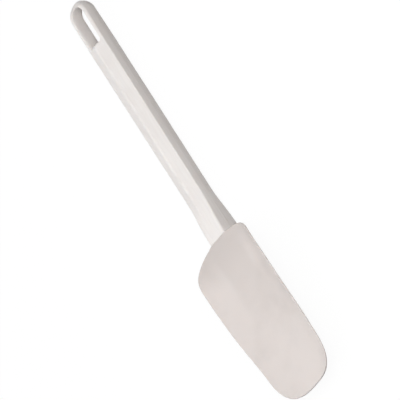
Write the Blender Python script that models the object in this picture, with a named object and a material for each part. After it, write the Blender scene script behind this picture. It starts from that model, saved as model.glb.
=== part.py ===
"""Spoon spatula: a plastic handle with a hanging loop, and a soft spoon blade moulded round its tang.

Run with: blender --background --python part.py
Metres, +Z up. The tool lies on its back: +Y points to the hanging loop, the blade points to -Y and its
hollow faces +Z. The origin is the centre of the bounding box's bottom. Heights called "above the middle"
are measured from the handle's middle plane.
"""
import math

import bmesh
import bpy
import numpy as np
from mathutils import Vector

# Whole tool
OVERALL_LENGTH = 0.254
FIT_GAP = 0.0003

# Grip: six-sided bar with upright walls and a low ridge in front and behind
LOOP_WIDTH = 0.0153
NECK_WIDTH = 0.0145
WALL_HEIGHT = 0.0075
RIDGE_RISE = 0.0022
LOOP_RIDGE_RISE = 0.0009
RIDGE_WIDTH = 0.0014
EDGE_RADIUS = 0.0007
LOOP_EDGE_RADIUS = 0.0015

# Hanging slot through the end of the grip
SLOT_LENGTH = 0.0236
LEG_WIDTH = 0.0028
LOOP_END_WALL = 0.0035
SLOT_CORNER_RADIUS = 0.0018
CUT_EDGE_ROUND = 0.0004

# Root: the squared end of the handle that meets the blade
ROOT_WIDTH = 0.0150
ROOT_DEPTH = 0.0124
ROOT_LAND = 0.0032
FLARE_LENGTH = 0.0235

# Tang: the plug and the flat paddle inside the blade
PLUG_STEP = 0.0021
PLUG_LENGTH = 0.0080
PADDLE_WIDTH = 0.0160
PADDLE_THICKNESS = 0.0026
PADDLE_END_THICKNESS = 0.0018
TANG_LENGTH = 0.0460
TANG_TAPER_LENGTH = 0.0090
PADDLE_CORNER_RADIUS = 0.0040
PADDLE_EDGE_SHARE = 0.8
WINDOW_COUNT = 3
WINDOW_WIDTH = 0.0080
WINDOW_LENGTH = 0.0060
WINDOW_PITCH = 0.0090
WINDOW_END_WALL = 0.0035

# Blade outline, seen from the front
BLADE_LENGTH = 0.0969
SHOULDER_WIDTH = 0.0535
TIP_WIDTH = 0.0490
SIDE_BOW = 0.0007
SHOULDER_LENGTH = 0.0166
SHOULDER_SQUARENESS = 3.0
TIP_CORNER_LENGTH = 0.0237
TIP_SQUARENESS = 3.3
TIP_TAPER = 0.035

# Blade heights above the middle: the rim, and the floor of the hollow
RIM_AT_SHOULDER = 0.0111
RIM_AT_MIDDLE = 0.0096
RIM_AT_TIP_CORNER = 0.0070
RIM_AT_TIP = 0.0064
FLOOR_AT_QUARTER = 0.0030
FLOOR_AT_MIDDLE = 0.0016
FLOOR_AT_TIP = 0.0028
TOP_FLATNESS = 6.0
HOLLOW_FLATNESS = 2.3

# Blade thickness: thin at the rim, thick along the spine that covers the tang
RIM_THICKNESS = 0.0013
TIP_THICKNESS = 0.0011
RIM_ROUND = 0.0006
MOUTH_ROUND = 0.0002
LARGEST_ROUND_SHARE = 0.49
TANG_COVER = 0.00075
SPINE_SIDE_COVER = 0.0010
SPINE_BLEND = 0.0080

MIDDLE = ROOT_DEPTH / 2
LOOP_Y = OVERALL_LENGTH / 2 - LOOP_WIDTH / 2
TIP_Y = -OVERALL_LENGTH / 2
BLADE_TOP_Y = TIP_Y + BLADE_LENGTH
STEP_Y = BLADE_TOP_Y + FIT_GAP
LAND_Y = STEP_Y + ROOT_LAND
FLARE_Y = LAND_Y + FLARE_LENGTH
SLOT_END_Y = OVERALL_LENGTH / 2 - LOOP_END_WALL - SLOT_LENGTH
CREST_Y = SLOT_END_Y - SLOT_CORNER_RADIUS
SHOULDER_Y = BLADE_TOP_Y - SHOULDER_LENGTH
TIP_CORNER_Y = TIP_Y + TIP_CORNER_LENGTH
TANG_END_Y = STEP_Y - TANG_LENGTH

# Mesh: counts of steps, and how the rings of the blade's faces are spread
CORNER_STEPS = 3
LOOP_STEPS = 24
SLOT_STEPS = 23
FLARE_STEPS = 12
PLUG_STEPS = 3
TAPER_STEPS = 6
PADDLE_STEPS = 7
WINDOW_STEPS = 8
OUTLINE_STEPS = 14
SIDE_STEPS = 10
RING_STEPS = 12
RING_CROWDING = 1.2
MIDDLE_LINE_SHARE = 0.8
WELD_DISTANCE = 2e-6
CUT_MARGIN = 0.001
SHARP_ANGLE = 30
CUT_EDGE_ANGLE = 60


def ease(fraction):
    """Smooth step from 0 to 1, level at both ends."""
    f = np.clip(fraction, 0.0, 1.0)
    return f * f * (3 - 2 * f)


def curve_through(stations, values, at):
    """Smooth curve through a few values, which never swings past them (monotone cubic)."""
    s = np.asarray(stations, float)
    v = np.asarray(values, float)
    steps = np.diff(s)
    slopes = np.diff(v) / steps
    middle = np.where(slopes[1:] * slopes[:-1] > 0, 2 * slopes[1:] * slopes[:-1], 0.0)
    total = slopes[1:] + slopes[:-1]
    middle = middle / np.where(np.abs(total) > 0, total, 1.0)
    tangents = np.concatenate([[slopes[0]], middle, [slopes[-1]]])
    x = np.clip(at, s[0], s[-1])
    k = np.clip(np.searchsorted(s, x) - 1, 0, len(s) - 2)
    t = (x - s[k]) / steps[k]
    start = (1 + 2 * t) * (1 - t) ** 2 * v[k] + t * (1 - t) ** 2 * steps[k] * tangents[k]
    end = t * t * (3 - 2 * t) * v[k + 1] + t * t * (t - 1) * steps[k] * tangents[k + 1]
    return start + end


def clear_scene():
    for item in list(bpy.data.objects):
        bpy.data.objects.remove(item, do_unlink=True)


def linear(channel):
    """A colour channel of 0 to 255 as a screen shows it, turned into a linear value."""
    c = channel / 255
    return c / 12.92 if c <= 0.04045 else ((c + 0.055) / 1.055) ** 2.4


def plastic(name, colour, roughness):
    """A plain dielectric material; colour is red, green and blue from 0 to 255."""
    made = bpy.data.materials.new(name)
    made.use_nodes = True
    shader = made.node_tree.nodes["Principled BSDF"]
    shader.inputs["Base Color"].default_value = [linear(c) for c in colour] + [1.0]
    shader.inputs["Roughness"].default_value = roughness
    shader.inputs["Metallic"].default_value = 0.0
    return made


def add_object(name, bm, surface=None):
    """Turn a bmesh into an object with outward faces; without a surface it is a hidden cutter."""
    bmesh.ops.remove_doubles(bm, verts=bm.verts[:], dist=WELD_DISTANCE)
    bmesh.ops.recalc_face_normals(bm, faces=bm.faces[:])
    mesh = bpy.data.meshes.new(name)
    bm.to_mesh(mesh)
    bm.free()
    made = bpy.data.objects.new(name, mesh)
    bpy.context.scene.collection.objects.link(made)
    if surface is None:
        made.hide_render = True
        made.display_type = "WIRE"
    else:
        mesh.materials.append(surface)
        mesh.shade_smooth()
        mesh.set_sharp_from_angle(angle=math.radians(SHARP_ANGLE))
    return made


def cut(target, cutter):
    """Subtract the cutter from the target."""
    modifier = target.modifiers.new(cutter.name, "BOOLEAN")
    modifier.operation = "DIFFERENCE"
    modifier.solver = "EXACT"
    modifier.object = cutter


def soften(target):
    """Round the edges that the cuts left square."""
    modifier = target.modifiers.new("edge_round", "BEVEL")
    modifier.width = CUT_EDGE_ROUND
    modifier.segments = 2
    modifier.limit_method = "ANGLE"
    modifier.angle_limit = math.radians(CUT_EDGE_ANGLE)


def loft(bm, rings):
    """Join closed rings of equally many points by bands of four-sided faces."""
    made = [[bm.verts.new(point) for point in ring] for ring in rings]
    for ring, following in zip(made[:-1], made[1:]):
        for k in range(len(ring)):
            j = (k + 1) % len(ring)
            bm.faces.new((ring[k], ring[j], following[j], following[k]))
    return made


def rounded_corner(before, corner, after, radius):
    """Points of an arc of the given radius that replaces the corner between two straight sides."""
    to_before = (before - corner).normalized()
    to_after = (after - corner).normalized()
    half_angle = to_before.angle(to_after) / 2
    reach = radius / math.tan(half_angle)
    centre = corner + (to_before + to_after).normalized() * radius / math.sin(half_angle)
    first = corner + to_before * reach - centre
    last = corner + to_after * reach - centre
    swing = first.angle(last)
    points = []
    for k in range(CORNER_STEPS + 1):
        f = k / CORNER_STEPS
        direction = first * math.sin((1 - f) * swing) + last * math.sin(f * swing)
        points.append(centre + direction / math.sin(swing))
    return points


def half_section(half_width, wall, crest, radius):
    """Right half of a bar's section as (x, height) pairs, from the front ridge round to the back one."""
    ridge = min(RIDGE_WIDTH / 2, half_width / 2)
    front = [Vector((0, crest)), Vector((ridge, crest))]
    back = [Vector((ridge, -crest)), Vector((0, -crest))]
    upper = Vector((half_width, wall))
    lower = Vector((half_width, -wall))
    return front + rounded_corner(front[1], upper, lower, radius) + rounded_corner(
        upper, lower, back[0], radius) + back


def section_ring(y, half_width, wall, crest, radius, centre=0.0):
    """Closed ring of the section at y, its middle at the given height above the handle's middle."""
    right = half_section(half_width, wall, crest, radius)
    both = [(p.x, p.y) for p in right] + [(-p.x, p.y) for p in reversed(right[1:-1])]
    return [(x, y, MIDDLE + centre + height) for x, height in both]


def grip_ring(y):
    """Section of the visible handle at y: six-sided in the grip, squared at the root, and with rounder
    edges and a lower ridge towards the loop's end."""
    along = (LOOP_Y - y) / (LOOP_Y - FLARE_Y)
    half_width = (LOOP_WIDTH + (NECK_WIDTH - LOOP_WIDTH) * min(along, 1.0)) / 2
    squared = float(ease((FLARE_Y - y) / FLARE_LENGTH))
    half_width += (ROOT_WIDTH - NECK_WIDTH) / 2 * squared
    fade = min(max((LOOP_Y - y) / (LOOP_Y - CREST_Y), 0.0), 1.0)
    rise = LOOP_RIDGE_RISE + (RIDGE_RISE - LOOP_RIDGE_RISE) * fade
    radius = LOOP_EDGE_RADIUS + (EDGE_RADIUS - LOOP_EDGE_RADIUS) * fade
    wall = WALL_HEIGHT / 2 + (ROOT_DEPTH - WALL_HEIGHT) / 2 * squared
    crest = WALL_HEIGHT / 2 + rise + (ROOT_DEPTH / 2 - WALL_HEIGHT / 2 - rise) * squared
    return section_ring(y, half_width, wall, crest, radius)


def side_half_width(y):
    """Half width of the blade along its sides, before its corners are rounded off."""
    f = np.clip((SHOULDER_Y - y) / (SHOULDER_Y - TIP_CORNER_Y), 0.0, 1.0)
    return (SHOULDER_WIDTH + (TIP_WIDTH - SHOULDER_WIDTH) * f) / 2 + SIDE_BOW * 4 * f * (1 - f)


def floor_height(y):
    """Height of the blade's front face along its middle line."""
    quarter = BLADE_TOP_Y - BLADE_LENGTH / 4
    centre = BLADE_TOP_Y - BLADE_LENGTH / 2
    stations = [TIP_Y, centre, quarter, BLADE_TOP_Y]
    heights = [FLOOR_AT_TIP, FLOOR_AT_MIDDLE, FLOOR_AT_QUARTER, ROOT_DEPTH / 2]
    return curve_through(stations, heights, y)


def rim_height(y):
    """Height of the blade's front face along its side rims."""
    centre = (SHOULDER_Y + TIP_CORNER_Y) / 2
    stations = [TIP_Y, TIP_CORNER_Y, centre, SHOULDER_Y]
    heights = [RIM_AT_TIP, RIM_AT_TIP_CORNER, RIM_AT_MIDDLE, RIM_AT_SHOULDER]
    return curve_through(stations, heights, y)


def front_height(x, y):
    """Hollow front face: the floor curves up to the rim, later and steeper near the top edge."""
    flatness = TOP_FLATNESS + (HOLLOW_FLATNESS - TOP_FLATNESS) * ease((BLADE_TOP_Y - y) / (BLADE_LENGTH / 3))
    across = np.clip(np.abs(x) / side_half_width(y), 0.0, 1.0)
    return floor_height(y) + (rim_height(y) - floor_height(y)) * across ** flatness


def spine_thickness(y):
    """Thickness along the middle line: the root's depth, then a cover over the tang, then a thin tip."""
    over_tang = PADDLE_END_THICKNESS + 2 * (FIT_GAP + TANG_COVER)
    return curve_through([TIP_Y, TANG_END_Y, BLADE_TOP_Y], [TIP_THICKNESS, over_tang, ROOT_DEPTH], y)


def blade_thickness(x, y):
    """Thin blade with a spine that covers the tang's width and blends out to both sides."""
    down = ease((BLADE_TOP_Y - y) / TANG_LENGTH)
    plug_width = ROOT_WIDTH - 2 * PLUG_STEP
    covered = (plug_width + (PADDLE_WIDTH - plug_width) * down) / 2 + SPINE_SIDE_COVER
    spine = 1 - ease((np.abs(x) - covered) / SPINE_BLEND)
    toward_tip = ease((TIP_CORNER_Y + TIP_CORNER_LENGTH - y) / (2 * TIP_CORNER_LENGTH))
    thin = RIM_THICKNESS + (TIP_THICKNESS - RIM_THICKNESS) * toward_tip
    return thin + np.maximum(spine_thickness(y) - thin, 0.0) * spine


def blade_middle(y):
    """Height of the middle of the blade's thickness along its middle line."""
    return float(floor_height(y) - spine_thickness(y) / 2)


def blade_outline():
    """Points of the blade's outline as x and y, clockwise from the middle of the top edge."""
    turn = np.linspace(0, math.pi / 2, OUTLINE_STEPS + 1)
    power = 2 / SHOULDER_SQUARENESS
    x = SHOULDER_WIDTH / 2 * np.sin(turn) ** power
    y = SHOULDER_Y + SHOULDER_LENGTH * np.cos(turn) ** power
    side_y = np.linspace(SHOULDER_Y, TIP_CORNER_Y, SIDE_STEPS + 1)[1:-1]
    power = 2 / TIP_SQUARENESS
    tip_drop = TIP_CORNER_LENGTH * np.sin(turn) ** power
    tip_x = (TIP_WIDTH / 2 - TIP_TAPER * tip_drop) * np.cos(turn) ** power
    tip_y = TIP_CORNER_Y - tip_drop
    x = np.concatenate([x, side_half_width(side_y), tip_x])
    y = np.concatenate([y, side_y, tip_y])
    return np.concatenate([x, -x[-2:0:-1]]), np.concatenate([y, y[-2:0:-1]])


def outward(x, y):
    """Unit outward direction at each point of a closed clockwise outline."""
    dx = np.roll(x, -1) - np.roll(x, 1)
    dy = np.roll(y, -1) - np.roll(y, 1)
    length = np.hypot(dx, dy)
    return -dy / length, dx / length


def blade_rings():
    """Rings of points from the middle of the front, round the rim, to the middle of the back."""
    x, y = blade_outline()
    out_x, out_y = outward(x, y)
    thickness = blade_thickness(x, y)
    beside = ease((np.abs(x) - ROOT_WIDTH / 2) / SPINE_BLEND)
    radius = np.where(y > SHOULDER_Y, MOUTH_ROUND + (RIM_ROUND - MOUTH_ROUND) * beside, RIM_ROUND)
    radius = np.minimum(radius, thickness * LARGEST_ROUND_SHARE)
    inner_x = x - out_x * radius
    inner_y = y - out_y * radius
    centre_y = (BLADE_TOP_Y + TIP_Y) / 2 + (y - (BLADE_TOP_Y + TIP_Y) / 2) * MIDDLE_LINE_SHARE
    front = []
    back = []
    for k in range(RING_STEPS):
        inward = (1 - k / RING_STEPS) ** RING_CROWDING
        ring_x = inner_x * (1 - inward)
        ring_y = inner_y + (centre_y - inner_y) * inward
        height = front_height(ring_x, ring_y)
        front.append((ring_x, ring_y, height))
        back.append((ring_x, ring_y, height - blade_thickness(ring_x, ring_y)))
    face = front_height(inner_x, inner_y)
    edge = []
    for turn in np.linspace(0, math.pi / 2, CORNER_STEPS + 1):
        reach = radius * math.sin(turn)
        drop = radius * (1 - math.cos(turn))
        edge.append((inner_x + out_x * reach, inner_y + out_y * reach, drop))
    upper = [(ex, ey, face - drop) for ex, ey, drop in edge]
    lower = [(ex, ey, face - thickness + drop) for ex, ey, drop in reversed(edge)]
    rings = front + upper + lower + back[::-1]
    return [list(zip(rx, ry, MIDDLE + rz)) for rx, ry, rz in rings]


def prism(bm, outline, low, high):
    """Extrude a closed outline of (x, y) points from one height to another."""
    face = bm.faces.new([bm.verts.new((x, y, low)) for x, y in outline])
    raised = bmesh.ops.extrude_face_region(bm, geom=[face])
    moved = [item for item in raised["geom"] if isinstance(item, bmesh.types.BMVert)]
    bmesh.ops.translate(bm, verts=moved, vec=(0, 0, high - low))


def slot_outline():
    """Hanging slot: round at the loop's end, blunt with rounded corners towards the grip."""
    half = LOOP_WIDTH / 2 - LEG_WIDTH
    arc_y = OVERALL_LENGTH / 2 - LOOP_END_WALL - half
    turns = [math.pi * k / SLOT_STEPS for k in range(SLOT_STEPS + 1)]
    points = [Vector((half * math.cos(t), arc_y + half * math.sin(t))) for t in turns]
    left = Vector((-half, SLOT_END_Y))
    right = Vector((half, SLOT_END_Y))
    points += rounded_corner(points[-1], left, right, SLOT_CORNER_RADIUS)
    points += rounded_corner(left, right, points[0], SLOT_CORNER_RADIUS)
    return [(p.x, p.y) for p in points]


def tang_ring(y, grow):
    """Section of the tang at y, made larger all round by grow; the paddle's end has rounded corners."""
    spread = float(ease((STEP_Y - PLUG_LENGTH - y) / TANG_TAPER_LENGTH))
    plug_width = ROOT_WIDTH / 2 - PLUG_STEP
    plug_depth = ROOT_DEPTH / 2 - PLUG_STEP
    paddle_start = STEP_Y - PLUG_LENGTH - TANG_TAPER_LENGTH
    thinner = min(max((paddle_start - y) / (paddle_start - TANG_END_Y), 0.0), 1.0)
    thickness = PADDLE_THICKNESS + (PADDLE_END_THICKNESS - PADDLE_THICKNESS) * thinner
    into_corner = min(max(1 - (y - TANG_END_Y + grow) / (PADDLE_CORNER_RADIUS + grow), 0.0), 1.0)
    drawn_in = (PADDLE_CORNER_RADIUS + grow) * (1 - math.sqrt(1 - into_corner ** 2))
    half_width = plug_width + (PADDLE_WIDTH / 2 - plug_width) * spread - drawn_in
    half_depth = plug_depth + (thickness / 2 - plug_depth) * spread
    radius = min(EDGE_RADIUS, half_depth * PADDLE_EDGE_SHARE)
    centre = blade_middle(y) * float(ease((STEP_Y - y) / PLUG_LENGTH))
    return section_ring(y, half_width + grow, half_depth + grow, half_depth + grow, radius + grow, centre)


def tang_rings(grow):
    """Rings from the root's step to the tang's end, made larger all round by grow."""
    plug_end = STEP_Y - PLUG_LENGTH
    taper_end = plug_end - TANG_TAPER_LENGTH
    end = TANG_END_Y - grow
    corner = PADDLE_CORNER_RADIUS + grow
    stations = list(np.linspace(STEP_Y, plug_end, PLUG_STEPS, endpoint=False))
    stations += list(np.linspace(plug_end, taper_end, TAPER_STEPS, endpoint=False))
    stations += list(np.linspace(taper_end, end + corner, PADDLE_STEPS, endpoint=False))
    stations += list(end + corner * (1 - np.sin(np.linspace(0, math.pi / 2, 2 * CORNER_STEPS + 1))))
    return [tang_ring(y, grow) for y in stations]


def window_outline(number, shrink):
    """Round-ended window across the paddle; windows are counted from the tang's end."""
    y = TANG_END_Y + WINDOW_END_WALL + WINDOW_LENGTH / 2 + number * WINDOW_PITCH
    radius = WINDOW_LENGTH / 2 - shrink
    reach = WINDOW_WIDTH / 2 - WINDOW_LENGTH / 2
    points = []
    for side in (1, -1):
        for k in range(WINDOW_STEPS + 1):
            turn = math.pi * k / WINDOW_STEPS - side * math.pi / 2
            points.append((side * reach + radius * math.cos(turn), y + radius * math.sin(turn)))
    return points


def add_windows(name, shrink):
    """Cutter for the paddle's windows."""
    bm = bmesh.new()
    for number in range(WINDOW_COUNT):
        prism(bm, window_outline(number, shrink), 0.0, ROOT_DEPTH)
    return add_object(name, bm)


def build_handle(surface):
    """Grip, root and tang in one moulding; its end round the slot is the section spun half a turn."""
    stations = [LOOP_Y, CREST_Y]
    stations += list(np.linspace(FLARE_Y, LAND_Y, FLARE_STEPS + 1))
    stations += [STEP_Y]
    bm = bmesh.new()
    rings = loft(bm, [grip_ring(y) for y in stations] + tang_rings(0.0))
    bm.faces.new(rings[-1])
    count = len(rings[0]) // 2 + 1
    profile = rings[0][:count]
    edges = [bm.edges.get(pair) for pair in zip(profile[:-1], profile[1:])]
    bmesh.ops.spin(bm, geom=profile + edges, cent=(0, LOOP_Y, 0), axis=(0, 0, 1),
                   angle=math.pi, steps=LOOP_STEPS)
    handle = add_object("handle", bm, surface)
    slot = bmesh.new()
    prism(slot, slot_outline(), -CUT_MARGIN, ROOT_DEPTH + CUT_MARGIN)
    cut(handle, add_object("slot_cutter", slot))
    cut(handle, add_windows("window_cutter", 0.0))
    soften(handle)
    return handle


def build_blade(surface):
    """Spoon-shaped blade with a pocket that follows the tang and pillars through its windows."""
    bm = bmesh.new()
    loft(bm, blade_rings())
    blade = add_object("blade", bm, surface)
    pocket = bmesh.new()
    rings = loft(pocket, [tang_ring(STEP_Y + CUT_MARGIN, FIT_GAP)] + tang_rings(FIT_GAP))
    pocket.faces.new(rings[0])
    pocket.faces.new(rings[-1])
    cutter = add_object("pocket_cutter", pocket)
    cut(cutter, add_windows("pillar_cutter", FIT_GAP))
    cut(blade, cutter)
    return blade


clear_scene()
build_handle(plastic("white_polypropylene", (236, 233, 229), 0.38))
build_blade(plastic("off_white_elastomer", (222, 214, 208), 0.55))
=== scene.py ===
"""A spoon spatula lying on its back on a pale table, seen from above its right-hand side. Lengths are
in metres; y runs up the handle and z up from the table."""
import math

import bmesh
import bpy
import numpy as np
from mathutils import Matrix, Vector


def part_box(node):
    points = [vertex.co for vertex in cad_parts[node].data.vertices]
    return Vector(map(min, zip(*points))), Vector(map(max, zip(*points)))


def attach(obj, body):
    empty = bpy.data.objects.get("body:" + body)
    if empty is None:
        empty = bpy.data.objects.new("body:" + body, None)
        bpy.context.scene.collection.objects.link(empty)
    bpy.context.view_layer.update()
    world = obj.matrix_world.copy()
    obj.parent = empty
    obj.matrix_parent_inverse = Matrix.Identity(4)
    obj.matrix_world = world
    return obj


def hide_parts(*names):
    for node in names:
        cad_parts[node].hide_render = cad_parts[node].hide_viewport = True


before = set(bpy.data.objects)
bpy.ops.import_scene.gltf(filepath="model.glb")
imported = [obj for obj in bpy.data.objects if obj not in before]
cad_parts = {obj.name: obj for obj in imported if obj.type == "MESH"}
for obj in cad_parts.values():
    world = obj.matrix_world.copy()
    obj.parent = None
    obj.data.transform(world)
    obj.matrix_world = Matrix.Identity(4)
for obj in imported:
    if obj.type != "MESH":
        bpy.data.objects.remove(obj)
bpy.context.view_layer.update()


# Handle: one moulding in white polypropylene, made in a two-plate mould whose halves meet half way up
# its side walls. A low ridge runs along its front and back, the end by the blade is drawn out to a
# square root, and the slot that it hangs from is cored through the other end.
loop_width = 0.0153
neck_width = 0.0147
root_width = 0.0150
wall_height = 0.0077
ridge_rise = 0.0022
loop_ridge_rise = 0.0009
ridge_flat = 0.0007
ridge_radius = 0.0043
root_land = 0.0032
flare_length = 0.0235
edge_radius = 0.0007
back_edge_radius = 0.0003
root_edge_radius = 0.0014
loop_edge_radius = 0.0013
loop_end_radius = 0.0033
loop_end_fall = 0.48
loop_end_short = 0.0002
slot_length = 0.0234
slot_leg = 0.0028
slot_end_wall = 0.0035
slot_corner = 0.0018
slot_lip_width = 0.0008
slot_blunt_lip_width = 0.0012
slot_lip_depth = 0.0022
slot_back_rounding = 0.0009
slot_taper = 0.05
wall_bulge = 0.00022
parting_height = 0.00004
parting_width = 0.00030
joint_below_slot = 0.0030
modelling_gap = 0.0003

handle_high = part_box("handle")[1]
blade_low, blade_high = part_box("blade")
root_depth = handle_high.z
middle = root_depth / 2
root_y = blade_high.y + modelling_gap
flare_y = root_y + root_land + flare_length
loop_end_y = handle_high.y - loop_end_short
loop_y = loop_end_y - loop_width / 2
slot_half = loop_width / 2 - slot_leg
slot_arc_y = loop_end_y - slot_end_wall - slot_half
slot_y = loop_end_y - slot_end_wall - slot_length
slot_middle_y = slot_y + slot_length / 2
grip_middle_y = (slot_y + flare_y) / 2
joint_y = slot_y - joint_below_slot


def smooth_step(fraction):
    """0 to 1 by three times the square less twice the cube, level at both ends."""
    f = np.clip(fraction, 0.0, 1.0)
    return f * f * (3 - 2 * f)


def runs(stops, counts):
    """Straight runs from stop to stop, each split into its count of equal steps, without the last stop."""
    pairs = zip(stops[:-1], stops[1:], counts)
    return np.concatenate([np.linspace(start, stop, count, endpoint=False) for start, stop, count in pairs])


def bar_shape(y):
    """Half width at the wall's edge, height of that edge above the middle and slope of the roof over it,
    at each y. The width runs straight from the loop to the neck and the ridge rises from the loop to
    the joint; along the flare everything eases to the square root, whose roof is level."""
    along = np.clip((loop_y - y) / (loop_y - flare_y), 0, 1)
    squared = smooth_step((flare_y - y) / flare_length)
    width = loop_width + (neck_width - loop_width) * along + (root_width - neck_width) * squared
    half = width / 2 - wall_bulge - parting_height
    wall = wall_height / 2 + (root_depth - wall_height) / 2 * squared
    toward_neck = np.clip((loop_y - y) / (loop_y - joint_y), 0, 1)
    rise = (loop_ridge_rise + (ridge_rise - loop_ridge_rise) * toward_neck) * (1 - squared)
    return half, wall, rise / (half - ridge_flat)


def roof(distance, half, wall, slope):
    """Height of the face above the handle's middle: it climbs from the wall's edge at the given slope,
    and an arc of ridge_radius that touches both slopes rounds the ridge over."""
    angle = np.arctan(slope)
    reach = ridge_radius * np.sin(angle)
    foot = wall + (half - reach) * slope
    arc = foot + np.sqrt(np.maximum(ridge_radius ** 2 - distance ** 2, 0)) - ridge_radius * np.cos(angle)
    return np.where(distance < reach, arc, wall + (half - distance) * slope)


def outer_columns(y, turn=0):
    """Distance from the middle line and height of the handle's outer side at each y, in columns that
    go round the front edge's arc, down the wall and round the back edge's arc. Each arc touches the
    roof and the wall. Its radius eases to larger ones along the loop's legs and toward the root, and
    grows once more round the loop's end by the sine of the turn; the back edge's eases to a smaller
    one down the grip. The wall stands out from its edges by a parabola, which is the draft of the two
    mould halves, and a thin parting line runs along its middle."""
    half, wall, slope = (item[:, None] for item in bar_shape(y))
    tilt = np.arctan(slope)
    bend = (math.pi / 2 - tilt) * np.linspace(1, 0, edge_columns)
    in_loop = smooth_step((y - joint_y) / (loop_y - joint_y))[:, None]
    squared = smooth_step((flare_y - y) / flare_length)[:, None]
    down_grip = smooth_step((joint_y - y) / (joint_y - grip_middle_y))[:, None]
    radius = edge_radius + (loop_edge_radius - edge_radius) * in_loop
    radius = radius + (root_edge_radius - edge_radius) * squared
    radius = radius + (loop_end_radius - loop_edge_radius) * np.reshape(np.sin(turn), (-1, 1))

    def half_side(radius):
        """Distances and heights round one edge's arc and down that half of the wall to the parting line."""
        centre = wall + radius * (np.tan(tilt) - 1 / np.cos(tilt))
        flat_height = parting_width / 2 + (centre - parting_width / 2) * wall_levels
        flat = half + wall_bulge * (1 - (flat_height / centre) ** 2)
        return (np.hstack([half - radius + radius * np.cos(bend), flat]),
                np.hstack([centre + radius * np.sin(bend), flat_height]))

    front, front_height = half_side(radius)
    back, back_height = half_side(radius + (back_edge_radius - edge_radius) * down_grip)
    line = half + wall_bulge + parting_height
    distance = np.hstack([front, line, back[:, ::-1]])
    return distance, np.hstack([front_height, line * 0, -back_height[:, ::-1]])


def face_height(x, y):
    """Height of the front face above the middle at any point: the roof, carried round the loop's end."""
    distance = np.where(y > loop_y, np.hypot(x, y - loop_y), np.abs(x))
    return roof(distance, *bar_shape(np.minimum(y, loop_y)))


def slot_ring(offset):
    """Plan of the slot's edge moved out by offset, as a closed ring that runs anticlockwise from the
    middle of its lower right corner. Each point is a centre plus a radius in a direction; on straight
    stretches the centre moves instead. The slot narrows toward the loop's end by its taper."""
    corner_x, corner_y = slot_half - slot_corner, slot_y + slot_corner
    turn = np.radians(runs([-45, 0, 0, 180, 180, 225, 270, 270, 315], ring_counts))
    centre_x = np.repeat([corner_x, corner_x, 0, -corner_x, -corner_x, -corner_x, 0, corner_x], ring_counts)
    centre_x[blunt] = runs([-corner_x, corner_x], [blunt_steps])
    centre_y = runs([corner_y, corner_y, slot_arc_y, slot_arc_y, corner_y, corner_y, corner_y, corner_y,
                     corner_y], ring_counts)
    radius = np.repeat([slot_corner, slot_corner, slot_half, slot_corner, slot_corner, slot_corner,
                        slot_corner, slot_corner], ring_counts)
    turn, centre_x, centre_y, radius = (
        np.append(line, line[0]) for line in (turn, centre_x, centre_y, radius))
    x = centre_x + (radius + offset) * np.cos(turn)
    y = centre_y + (radius + offset) * np.sin(turn)
    return x * (1 + slot_taper * (slot_middle_y - y) / slot_length), y


def weld(name, patches):
    """One closed mesh from grids of points: every grid gives four-sided faces between its rows and
    columns, points of neighbouring grids that coincide are merged, and an open end is closed flat."""
    points, faces, start = [], [], 0
    for patch in patches:
        rows, columns = patch.shape[:2]
        index = start + np.arange(rows * columns).reshape(rows, columns)
        squares = np.stack([index[:-1, :-1], index[:-1, 1:], index[1:, 1:], index[1:, :-1]], -1)
        faces.append(squares.reshape(-1, 4))
        points.append(patch.reshape(-1, 3))
        start += rows * columns
    mesh = bpy.data.meshes.new(name)
    mesh.from_pydata(np.concatenate(points).tolist(), [], np.concatenate(faces).tolist())
    bm = bmesh.new()
    bm.from_mesh(mesh)
    bmesh.ops.remove_doubles(bm, verts=bm.verts[:], dist=weld_distance)
    bmesh.ops.holes_fill(bm, edges=[edge for edge in bm.edges if edge.is_boundary], sides=0)
    bmesh.ops.recalc_face_normals(bm, faces=bm.faces[:])
    bm.to_mesh(mesh)
    bm.free()
    mesh.shade_smooth()
    mesh.set_sharp_from_angle(angle=sharp_angle)
    made = bpy.data.objects.new(name, mesh)
    bpy.context.scene.collection.objects.link(made)
    return made


def grid(x, y, z):
    """Stacks coordinates that broadcast to one shape into a grid of points, z counted from the middle."""
    return np.stack(np.broadcast_arrays(x, y, middle + z), -1)


edge_columns = 9
wall_levels = np.array([0.8, 0.6, 0.4, 0.2, 0.0])
corner_steps, side_steps, arc_steps, blunt_steps = 6, 14, 48, 16
ring_counts = [corner_steps, side_steps, arc_steps, side_steps, corner_steps, corner_steps, blunt_steps,
               corner_steps]
blunt = slice(-corner_steps - blunt_steps, -corner_steps)
grip_steps = [40, 30, 3]
weld_distance = 0.000002
sharp_angle = math.radians(50)

# The loop's outer side: up the right leg from the joint with the grip, round the end, down the left leg.
leg_stops = [joint_y, slot_y + slot_corner, loop_y]
loop_line_y = np.concatenate([runs(leg_stops, [corner_steps, side_steps]), np.full(arc_steps, loop_y),
                              runs(leg_stops[::-1], [side_steps, corner_steps]), [joint_y]])
loop_turn = np.concatenate([np.zeros(corner_steps + side_steps), runs([0, math.pi], [arc_steps]),
                            np.full(side_steps + corner_steps + 1, math.pi)])
loop_distance, loop_height = outer_columns(loop_line_y, loop_turn)
loop_side = grid(loop_distance * np.cos(loop_turn)[:, None],
                 loop_line_y[:, None] + loop_distance * np.sin(loop_turn)[:, None], loop_height)

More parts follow.
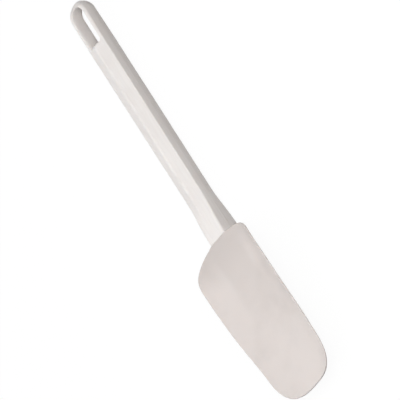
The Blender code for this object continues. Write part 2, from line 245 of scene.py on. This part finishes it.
# The outer edge of the loop's face: along that side's first column, and straight back across the joint.
edge_x = loop_distance[0, 0]
blunt_x = slot_half - slot_corner
chord_x = runs([-edge_x, -blunt_x, blunt_x, edge_x], [corner_steps, blunt_steps, corner_steps])
chord_x = np.append(chord_x, edge_x)
outer_x = np.concatenate([loop_side[:, 0, 0], chord_x[1:]])
outer_y = np.concatenate([loop_side[:, 0, 1], np.full(len(chord_x) - 1, joint_y)])
face_rows = np.linspace(0, 1, 6)[:, None]
lip_rows = np.radians(np.linspace(0, 90, 10))[:, None]
wall_rows = np.linspace(0, 1, 7)[:, None, None]


def slot_edge(width, blunt_width, depth):
    """Half of the slot's surface, as if it opened to the front: the loop's face between its outer edge and
    the slot, and a lip that is a quarter of an ellipse, as deep as given, down to the wall. It is as wide
    as width along the sides, and eases to blunt_width round the corners of the blunt end."""
    at_blunt_end = smooth_step((slot_y + slot_corner - slot_ring(0)[1]) / slot_corner)
    width = width + (blunt_width - width) * at_blunt_end
    inner_x, inner_y = slot_ring(width)
    face_x = outer_x + (inner_x - outer_x) * face_rows
    face_y = outer_y + (inner_y - outer_y) * face_rows
    lip_x, lip_y = slot_ring(width * (1 - np.sin(lip_rows)))
    lip_height = face_height(inner_x, inner_y) - depth * (1 - np.cos(lip_rows))
    return [grid(face_x, face_y, face_height(face_x, face_y)), grid(lip_x, lip_y, lip_height)]


def falling_end(points):
    """Lowers the front of the loop's end: heights above the middle lose a share that grows with the
    square of the way from the loop's centre to its end."""
    way = np.clip((points[..., 1] - loop_y) / (loop_width / 2), 0, 1)
    height = points[..., 2] - middle
    lowered = np.where(height > 0, height * (1 - loop_end_fall * way ** 2), height)
    return np.stack([points[..., 0], points[..., 1], middle + lowered], -1)


def turned_over(points):
    """The same grid on the back: its heights change sign about the handle's middle."""
    return points * [1, 1, -1] + [0, 0, 2 * middle]


loop_front = slot_edge(slot_lip_width, slot_blunt_lip_width, slot_lip_depth)
loop_back = slot_edge(slot_back_rounding, slot_back_rounding, slot_back_rounding)
loop_back = [turned_over(patch) for patch in loop_back]
front_foot, back_foot = loop_front[1][-1], loop_back[1][-1]
slot_wall = front_foot + (back_foot - front_foot) * wall_rows

# The grip, from the joint through the flare to the root's end: the wall, and the faces between the walls.
grip_y = np.append(runs([joint_y, flare_y, root_y + root_land, root_y], grip_steps), root_y)
grip_distance, grip_height = outer_columns(grip_y)
grip_wall = grid(grip_distance, grip_y[:, None], grip_height)
front_x, back_x = (chord_x / edge_x * grip_distance[:, [column]] for column in (0, -1))
grip_front = grid(front_x, grip_y[:, None], face_height(front_x, grip_y[:, None]))
grip_back = grid(back_x, grip_y[:, None], face_height(back_x, grip_y[:, None]))
handle = weld("handle_moulding", [
    *(falling_end(patch) for patch in [loop_side, *loop_front, *loop_back, slot_wall]),
    grip_wall, grip_wall * [-1, 1, 1], grip_front, turned_over(grip_back)])


def linear(code):
    """An sRGB hex colour as linear red, green, blue and alpha."""
    channels = np.array(list(bytes.fromhex(code))) / 255
    curve = np.where(channels <= 0.04045, channels / 12.92, ((channels + 0.055) / 1.055) ** 2.4)
    return [*curve.tolist(), 1.0]


def add_node(tree, kind, inputs=None, **settings):
    """Adds a node; each input is a value for its socket, or another node's output to link to it."""
    made = tree.nodes.new(kind)
    for key, value in settings.items():
        setattr(made, key, value)
    for key, value in (inputs or {}).items():
        if isinstance(value, bpy.types.NodeSocket):
            tree.links.new(value, made.inputs[key])
        else:
            made.inputs[key].default_value = value
    return made


def new_material(name):
    """An empty material, with its node tree and output node."""
    made = bpy.data.materials.new(name)
    made.use_nodes = True
    made.node_tree.nodes.clear()
    return made, made.node_tree, add_node(made.node_tree, "ShaderNodeOutputMaterial")


# White polypropylene, injection moulded against a finely spark-eroded mould: satin and a little
# translucent. It is cloudy where the melt cooled slowly, has faint streaks along the way that it
# flowed, and is rubbed smoother where hands and drawers touch it.
polypropylene_white = "ECE8E5"
polypropylene_shade = "E7E2DF"
cloud_width = 0.016
streak_width = 0.0011
streak_length = 0.014
rub_width = streak_width / 0.3
roughness_rubbed = 0.33
roughness_untouched = 0.44
eroded_grain = 0.0005
eroded_depth = 0.000003
sink_width = 0.011
sink_depth = 0.000025


def moulded_polypropylene():
    """Colour: between two whites by the product of a cloud noise and a streak noise, which is drawn out
    along the handle. Roughness: from rubbed to untouched by a broader streak noise. Bump: shallow sink
    ripples plus an eroded grain, which is really 0.15 mm wide and drawn at 0.5 mm so that it shows."""
    made, tree, output = new_material("moulded_white_polypropylene")
    place = add_node(tree, "ShaderNodeTexCoord").outputs["Object"]
    cloud = add_node(tree, "ShaderNodeTexNoise", {"Vector": place, "Scale": 1 / cloud_width, "Detail": 3.0})
    flow = add_node(tree, "ShaderNodeMapping", {
        "Vector": place, "Scale": (1, streak_width / streak_length, 1)})
    streak = add_node(tree, "ShaderNodeTexNoise", {
        "Vector": flow.outputs[0], "Scale": 1 / streak_width, "Detail": 2.0})
    both = add_node(tree, "ShaderNodeMath", {0: cloud.outputs["Fac"], 1: streak.outputs["Fac"]},
                    operation="MULTIPLY")
    share = add_node(tree, "ShaderNodeMapRange", {
        "Value": both.outputs[0], "From Min": 0.12, "From Max": 0.38})
    colour = add_node(tree, "ShaderNodeMix", {
        "Factor": share.outputs[0], 6: linear(polypropylene_shade), 7: linear(polypropylene_white)},
        data_type="RGBA")
    rubbed = add_node(tree, "ShaderNodeTexNoise", {
        "Vector": flow.outputs[0], "Scale": 1 / rub_width, "Detail": 4.0, "Roughness": 0.6})
    roughness = add_node(tree, "ShaderNodeMapRange", {
        "Value": rubbed.outputs["Fac"], "From Min": 0.3, "From Max": 0.7,
        "To Min": roughness_rubbed, "To Max": roughness_untouched})
    sink = add_node(tree, "ShaderNodeTexNoise", {"Vector": place, "Scale": 1 / sink_width, "Detail": 1.0})
    ripple = add_node(tree, "ShaderNodeBump", {"Height": sink.outputs["Fac"], "Distance": sink_depth})
    grain = add_node(tree, "ShaderNodeTexNoise", {"Vector": place, "Scale": 1 / eroded_grain, "Detail": 2.0})
    eroded = add_node(tree, "ShaderNodeBump", {
        "Height": grain.outputs["Fac"], "Distance": eroded_depth, "Normal": ripple.outputs[0]})
    shader = add_node(tree, "ShaderNodeBsdfPrincipled", {
        "Base Color": colour.outputs[2], "Roughness": roughness.outputs[0], "Normal": eroded.outputs[0],
        "IOR": 1.49, "Subsurface Weight": 0.12, "Subsurface Radius": (1.0, 0.85, 0.7),
        "Subsurface Scale": 0.0015})
    tree.links.new(shader.outputs[0], output.inputs["Surface"])
    return made


handle.data.materials.append(moulded_polypropylene())
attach(handle, "root")
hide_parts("handle")


# Blade: off-white thermoplastic elastomer, moulded over the handle's tang in a second shot. It is a
# shallow spoon with a thin, fully rounded rim; on its back a spine covers the tang and fades to the tip.
mouth_seam = 0.00002
box_margin = 0.0001
tip_width = 0.0490
side_bow = 0.0007
shoulder_length = 0.0166
shoulder_squareness = 3.0
tip_corner_length = 0.0237
tip_squareness = 3.15
tip_taper = 0.035
rim_heights = [0.0064, 0.0070, 0.0096, 0.0110]
floor_heights = [0.0028, 0.0016, 0.0030, root_depth / 2]
top_flatness = 6.0
hollow_flatness = 2.1
rim_thickness = 0.0013
tip_thickness = 0.0011
tang_end_thickness = 0.0039
tang_length = 0.0460
rim_rounding = 0.0006
mouth_rounding = 0.0002
feathering = 0.3
feather_reach = 0.12
spine_top_half = 0.0064
spine_low_half = 0.0090
spine_blend = 0.0080
seat_blend = 0.0030
seat_fading = 8
rounding_limit = 0.49
middle_line_share = 0.8
corner_points = 49
side_points = 33
ring_count = 49
ring_crowding = 1.2
rim_points = 9

blade_top_y = root_y - mouth_seam
tip_y = blade_low.y
blade_length = blade_high.y - tip_y
blade_middle_y = (blade_high.y + tip_y) / 2
shoulder_width = 2 * blade_high.x - box_margin
shoulder_y = blade_high.y - shoulder_length
tip_corner_y = tip_y + tip_corner_length


def curve_through(stops, values, at):
    """Monotone cubic through a few values: at each inner stop the slope is the harmonic mean of the
    slopes on both sides, or level where they differ in sign."""
    stops, values = np.array(stops), np.array(values)
    steps = np.diff(stops)
    slopes = np.diff(values) / steps
    before, after = slopes[:-1], slopes[1:]
    total = np.where(before * after > 0, before + after, 1.0)
    inner = np.where(before * after > 0, 2 * before * after / total, 0)
    tangents = np.concatenate([slopes[:1], inner, slopes[-1:]])
    at = np.clip(at, stops[0], stops[-1])
    k = np.clip(np.searchsorted(stops, at) - 1, 0, len(steps) - 1)
    t = (at - stops[k]) / steps[k]
    low = (1 + 2 * t) * (1 - t) ** 2 * values[k] + t * (1 - t) ** 2 * steps[k] * tangents[k]
    return low + t * t * (3 - 2 * t) * values[k + 1] + t * t * (t - 1) * steps[k] * tangents[k + 1]


def side_half(y):
    """Half width along the sides: a straight taper plus a slight bow, a parabola that is side_bow high
    half way down and zero at both ends."""
    down = np.clip((shoulder_y - y) / (shoulder_y - tip_corner_y), 0, 1)
    return (shoulder_width + (tip_width - shoulder_width) * down) / 2 + side_bow * 4 * down * (1 - down)


def floor_height(y):
    """Height of the hollow's middle line above the handle's middle: a curve through floor_heights at the
    tip, half way up, three quarters of the way up and at the top edge."""
    stops = [tip_y, blade_high.y - blade_length / 2, blade_high.y - blade_length / 4, blade_high.y]
    return curve_through(stops, floor_heights, y)


def rim_height(y):
    """Height of the side rims above the handle's middle: a curve through rim_heights at the tip, the
    tip's corner, the middle of the side and the shoulder."""
    stops = [tip_y, tip_corner_y, (shoulder_y + tip_corner_y) / 2, shoulder_y]
    return curve_through(stops, rim_heights, y)


def hollow_height(x, y):
    """The front face: from the floor to the rim by a power of the share of the half width. The power is
    high at the top edge, which stays flat, and eases to a low one a third of the way down, from where
    the hollow is round."""
    down = smooth_step((blade_high.y - y) / (blade_length / 3))
    flatness = top_flatness + (hollow_flatness - top_flatness) * down
    share = np.clip(np.abs(x) / side_half(y), 0, 1)
    return floor_height(y) + (rim_height(y) - floor_height(y)) * share ** flatness


def blade_thickness(x, y, edge=0.0):
    """Thin at the rim; over the tang the spine's thickness, which eases out to both sides. The thin part
    loses a further share at the very edge, where edge is 1."""
    spine = curve_through([tip_y, root_y - tang_length, blade_high.y],
                          [tip_thickness, tang_end_thickness, root_depth], y)
    down = smooth_step((blade_high.y - y) / tang_length)
    covered = spine_top_half + (spine_low_half - spine_top_half) * down
    toward_tip = smooth_step((tip_corner_y + tip_corner_length - y) / (2 * tip_corner_length))
    thin = (rim_thickness + (tip_thickness - rim_thickness) * toward_tip) * (1 - feathering * edge)
    return thin + np.maximum(spine - thin, 0) * (1 - smooth_step((np.abs(x) - covered) / spine_blend))


def blade_outline():
    """The outline in plan: from the top's middle round the right shoulder, down the side and round the
    tip, then the same mirrored. The shoulder and the tip's corner are superellipses: the sine and the
    cosine of a quarter turn, each to the power of two over the squareness. The tip's half width loses
    a share of the way down it."""
    turn = np.linspace(0, math.pi / 2, corner_points)
    side_y = np.linspace(shoulder_y, tip_corner_y, side_points)[1:-1]
    shoulder_x = shoulder_width / 2 * np.sin(turn) ** (2 / shoulder_squareness)
    shoulder_rise = shoulder_length * np.cos(turn) ** (2 / shoulder_squareness)
    tip_drop = tip_corner_length * np.sin(turn) ** (2 / tip_squareness)
    tip_x = (tip_width / 2 - tip_taper * tip_drop) * np.cos(turn) ** (2 / tip_squareness)
    x = np.concatenate([shoulder_x, side_half(side_y), tip_x])
    y = np.concatenate([shoulder_y + shoulder_rise, side_y, tip_corner_y - tip_drop])
    return np.concatenate([x, -x[-2:0:-1]]), np.concatenate([y, y[-2:0:-1]])


def blade_skin():
    """The blade's whole surface, one closed ring to a row: from the middle line out over the front, round
    the rim and back in underneath. A ring is the outline, inset by the rim's rounding, drawn in toward
    the middle line by a share. The rim is two quarter circles along the outline's normal. They are
    smaller at the mouth, where the blade meets the root, and the mouth is drawn up to the root's end."""
    x, y = blade_outline()
    ahead_x, ahead_y = np.roll(x, -1) - np.roll(x, 1), np.roll(y, -1) - np.roll(y, 1)
    length = np.hypot(ahead_x, ahead_y)
    out_x, out_y = -ahead_y / length, ahead_x / length
    at_top = y > shoulder_y
    beside_root = smooth_step((np.abs(x) - root_width / 2) / spine_blend)
    at_mouth = mouth_rounding + (rim_rounding - mouth_rounding) * beside_root
    rounding = np.where(at_top, at_mouth, rim_rounding)
    rounding = np.minimum(rounding, rounding_limit * blade_thickness(x, y, 1.0))
    inset_x, inset_y = x - out_x * rounding, y - out_y * rounding

    inward = np.linspace(1, 0, ring_count)[:, None] ** ring_crowding
    middle_line_y = blade_middle_y + (y - blade_middle_y) * middle_line_share
    ring_x = inset_x * (1 - inward)
    ring_y = inset_y + (middle_line_y - inset_y) * inward
    front = hollow_height(ring_x, ring_y)
    back = front - blade_thickness(ring_x, ring_y, 1 - smooth_step(inward / feather_reach))

    bend = np.linspace(0, math.pi / 2, rim_points)[:, None]
    seat = (blade_top_y - y) * (1 - smooth_step((np.abs(x) - root_width / 2) / seat_blend)) * at_top
    rim_x = inset_x + out_x * rounding * np.sin(bend)
    rim_y = inset_y + out_y * rounding * np.sin(bend) + seat
    rim_drop = rounding * (1 - np.cos(bend))
    ring_y = ring_y + seat * (1 - inward) ** seat_fading
    return grid(np.concatenate([ring_x, rim_x, rim_x[::-1], ring_x[::-1]]),
                np.concatenate([ring_y, rim_y, rim_y[::-1], ring_y[::-1]]),
                np.concatenate([front, front[-1] - rim_drop, (back[-1] + rim_drop)[::-1], back[::-1]]))


skin = blade_skin()
blade = weld("blade_moulding", [np.concatenate([skin, skin[:, :1]], axis=1)])


# Off-white thermoplastic elastomer, moulded against a dull blasted mould: soft and nearly matt. Its colour
# has painted light and shade in it: paler at the thin rim for the light that the rim lets through, darker
# over the thick spine, and darker still up toward the root. It is faintly clouded, a little duller too,
# where fat has soaked in.
# Painted light and shade: the thin colour is paler for the light that the thin rim lets through, the thick
# colour darker for the shade over the thick spine.
elastomer_thick_painted_shade = "D2CAC6"
elastomer_thin_painted_light = "DBD3CF"
elastomer_stain = "CEC6C2"
# Painted shade: the colour that the blade is darkened to over its last stretch up to the root.
elastomer_root_painted_shade = "C9C1BD"
root_shade_reach = 0.024
stain_width = 0.022
blasted_grain = 0.0006
blasted_depth = 0.000004
# Wall thickness at which the colour reaches the painted shade of the thick spine.
painted_shade_full_thickness = 0.0080
roughness_clear = 0.50
roughness_clouded = 0.60


def moulded_elastomer():
    """Colour: painted light and shade by the wall's thickness, which the mesh holds at each point, then
    painted shade by the way up to the root, and then by a cloud noise, which sets the roughness too. Bump:
    the blasted mould's grain, which is really 0.1 mm wide and drawn at 0.6 mm so that a picture shows it."""
    made, tree, output = new_material("moulded_off_white_elastomer")
    place = add_node(tree, "ShaderNodeTexCoord").outputs["Object"]
    wall = add_node(tree, "ShaderNodeAttribute", attribute_name="wall_thickness")
    # Painted light and shade by thickness: pale where the wall is thin, dark where it is thick.
    thickness_light_and_shade = add_node(tree, "ShaderNodeMapRange", {
        "Value": wall.outputs["Fac"], "From Min": rim_thickness, "From Max": painted_shade_full_thickness},
        interpolation_type="SMOOTHSTEP")
    # This mix is the painted light and shade by thickness.
    plain = add_node(tree, "ShaderNodeMix", {
        "Factor": thickness_light_and_shade.outputs[0], 6: linear(elastomer_thin_painted_light), 7: linear(elastomer_thick_painted_shade)},
        data_type="RGBA")
    along = add_node(tree, "ShaderNodeSeparateXYZ", {"Vector": place})
    # Painted shade that darkens the blade over its last stretch below the root.
    root_shade = add_node(tree, "ShaderNodeMapRange", {
        "Value": along.outputs["Y"], "From Min": root_y - root_shade_reach, "From Max": root_y},
        interpolation_type="SMOOTHSTEP")
    # Mixes in the painted shade toward the root.
    darker = add_node(tree, "ShaderNodeMix", {
        "Factor": root_shade.outputs[0], 6: plain.outputs[2], 7: linear(elastomer_root_painted_shade)}, data_type="RGBA")
    cloud = add_node(tree, "ShaderNodeTexNoise", {"Vector": place, "Scale": 1 / stain_width, "Detail": 4.0})
    share = add_node(tree, "ShaderNodeMapRange", {
        "Value": cloud.outputs["Fac"], "From Min": 0.48, "From Max": 0.75, "To Max": 0.7})
    colour = add_node(tree, "ShaderNodeMix", {
        "Factor": share.outputs[0], 6: darker.outputs[2], 7: linear(elastomer_stain)}, data_type="RGBA")
    roughness = add_node(tree, "ShaderNodeMapRange", {
        "Value": cloud.outputs["Fac"], "From Min": 0.3, "From Max": 0.7,
        "To Min": roughness_clear, "To Max": roughness_clouded})
    grain = add_node(tree, "ShaderNodeTexNoise", {
        "Vector": place, "Scale": 1 / blasted_grain, "Detail": 2.0})
    blasted = add_node(tree, "ShaderNodeBump", {"Height": grain.outputs["Fac"], "Distance": blasted_depth})
    shader = add_node(tree, "ShaderNodeBsdfPrincipled", {
        "Base Color": colour.outputs[2], "Roughness": roughness.outputs[0], "Normal": blasted.outputs[0],
        "IOR": 1.50, "Subsurface Weight": 0.15, "Subsurface Radius": (1.0, 0.8, 0.65),
        "Subsurface Scale": 0.0015})
    tree.links.new(shader.outputs[0], output.inputs["Surface"])
    return made


# The blade's thickness at each point, which steers the painted light and shade in its colour.
thickness = blade.data.attributes.new("wall_thickness", "FLOAT", "POINT")
points = np.empty(len(blade.data.vertices) * 3)
blade.data.vertices.foreach_get("co", points)
thickness.data.foreach_set("value", blade_thickness(points[0::3], points[1::3]))
blade.data.materials.append(moulded_elastomer())
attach(blade, "root")
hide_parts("blade")


# Table: a plain matt laminate sheet that the tool lies on. The camera sees it as white, less the tool's
# faint shadow, and reflections see a white sheet under the lamps. All other light meets a warm, darker
# grey one, so that the table throws little light up onto the tool.
table_reach = 3.0
table_drop = 0.0001
laminate_white = "F2F2F2"
laminate_grey = "62564F"
shadow_share = "454545"
white_glow = 0.95

bpy.ops.mesh.primitive_grid_add(x_subdivisions=8, y_subdivisions=8, size=2 * table_reach,
                                location=(0, 0, -table_drop))
table = bpy.context.object
table.name = "table"


def background_rays(tree, path):
    """The largest of three: whether a ray comes from the camera, from a reflection or through glass."""
    seen = add_node(tree, "ShaderNodeMath", {
        0: path.outputs["Is Camera Ray"], 1: path.outputs["Is Glossy Ray"]}, operation="MAXIMUM")
    seen = add_node(tree, "ShaderNodeMath", {
        0: seen.outputs[0], 1: path.outputs["Is Transmission Ray"]}, operation="MAXIMUM")
    return seen.outputs[0]


def pale_laminate():
    """Grey for ordinary light. For the camera, an even glow plus a dark diffuse share, which the tool's
    shadow takes away; for reflections, a white diffuse sheet."""
    made, tree, output = new_material("pale_matt_laminate")
    path = add_node(tree, "ShaderNodeLightPath")
    plain = add_node(tree, "ShaderNodeBsdfDiffuse", {"Color": linear(laminate_grey)})
    shaded = add_node(tree, "ShaderNodeBsdfDiffuse", {"Color": linear(shadow_share)})
    glow = add_node(tree, "ShaderNodeEmission", {"Color": linear("FFFFFF"), "Strength": white_glow})
    white = add_node(tree, "ShaderNodeAddShader", {0: shaded.outputs[0], 1: glow.outputs[0]})
    reflected = add_node(tree, "ShaderNodeBsdfDiffuse", {"Color": linear(laminate_white)})
    white = add_node(tree, "ShaderNodeMixShader", {
        0: path.outputs["Is Glossy Ray"], 1: white.outputs[0], 2: reflected.outputs[0]})
    both = add_node(tree, "ShaderNodeMixShader", {
        0: background_rays(tree, path), 1: plain.outputs[0], 2: white.outputs[0]})
    tree.links.new(both.outputs[0], output.inputs["Surface"])
    return made


table.data.materials.append(pale_laminate())


# Light: an even pale surrounding, three large soft panels round the table and one small one beside the
# blade. Their strengths are such that a white that faces up renders about as it is written. The camera
# and reflections see a plain white surrounding.
around_strength = 0.20
white_strength = 1.0

world = bpy.data.worlds.new("pale_room")
bpy.context.scene.world = world
world.use_nodes = True
room = world.node_tree
room.nodes.clear()
path = add_node(room, "ShaderNodeLightPath")
around = add_node(room, "ShaderNodeBackground", {"Color": linear("FFFFFF"), "Strength": around_strength})
white = add_node(room, "ShaderNodeBackground", {"Color": linear("FFFFFF"), "Strength": white_strength})
mixed = add_node(room, "ShaderNodeMixShader", {
    0: background_rays(room, path), 1: around.outputs[0], 2: white.outputs[0]})
add_node(room, "ShaderNodeOutputWorld", {"Surface": mixed.outputs[0]})


def toward(azimuth, elevation):
    """Unit vector away from the tool: azimuth 0 is beyond the tip and 90 to the right, elevation is up
    from the table, both in degrees."""
    turn, lift = math.radians(azimuth), math.radians(elevation)
    return Vector((math.sin(turn) * math.cos(lift), -math.cos(turn) * math.cos(lift), math.sin(lift)))


def soft_panel(name, azimuth, elevation, power, distance, width, height, over_y=0.0):
    """An area lamp of the given size in the given direction from a point on the tool's middle line,
    facing that point."""
    lamp = bpy.data.lights.new(name, "AREA")
    lamp.shape = "RECTANGLE"
    lamp.size = width
    lamp.size_y = height
    lamp.energy = power
    made = bpy.data.objects.new(name, lamp)
    away = toward(azimuth, elevation)
    made.matrix_world = Matrix.Translation(Vector((0, over_y, 0)) + away * distance) @ (
        away.to_track_quat("Z", "Y").to_matrix().to_4x4())
    bpy.context.scene.collection.objects.link(made)


soft_panel("left_panel", azimuth=-85, elevation=38, power=12.2, distance=1.6, width=2.4, height=1.0)
soft_panel("right_panel", azimuth=90, elevation=45, power=8.8, distance=1.6, width=1.0, height=1.0)
soft_panel("back_panel", azimuth=180, elevation=50, power=4.1, distance=1.6, width=1.0, height=1.0)
soft_panel("blade_panel", azimuth=85, elevation=50, power=0.97, distance=0.5, width=0.3, height=0.3,
           over_y=-0.09)


# Camera: above the tool's right-hand side and turned so that the tool runs down the picture from
# left to right, far enough away that its edges stay as parallel as they are in the photograph.
picture_size = 400
picture_width = 0.21316
tool_middle_pixel = (196.34, 192.18)
azimuth = 64.48
elevation = 43.05
roll = math.radians(-104.57)
distance = 10.0
toward_camera = toward(azimuth, elevation)
level_right = Vector((math.cos(math.radians(azimuth)), math.sin(math.radians(azimuth)), 0))
level_up = toward_camera.cross(level_right)
right = level_right * math.cos(roll) + level_up * math.sin(roll)
up = level_up * math.cos(roll) - level_right * math.sin(roll)
shift_right = ((picture_size - 1) / 2 - tool_middle_pixel[0]) / picture_size * picture_width
shift_down = ((picture_size - 1) / 2 - tool_middle_pixel[1]) / picture_size * picture_width
aim = Vector((0, 0, middle)) + right * shift_right - up * shift_down
lens = bpy.data.cameras.new("camera")
lens.type = "PERSP"
lens.sensor_width = 36.0
lens.lens = lens.sensor_width * distance / picture_width
lens.clip_end = 100.0
camera = bpy.data.objects.new("camera", lens)
camera.matrix_world = Matrix.Translation(aim + toward_camera * distance) @ Matrix(
    (right, up, toward_camera)).transposed().to_4x4()
bpy.context.scene.collection.objects.link(camera)
bpy.context.scene.camera = camera

bpy.context.scene.view_settings.view_transform = "Standard"
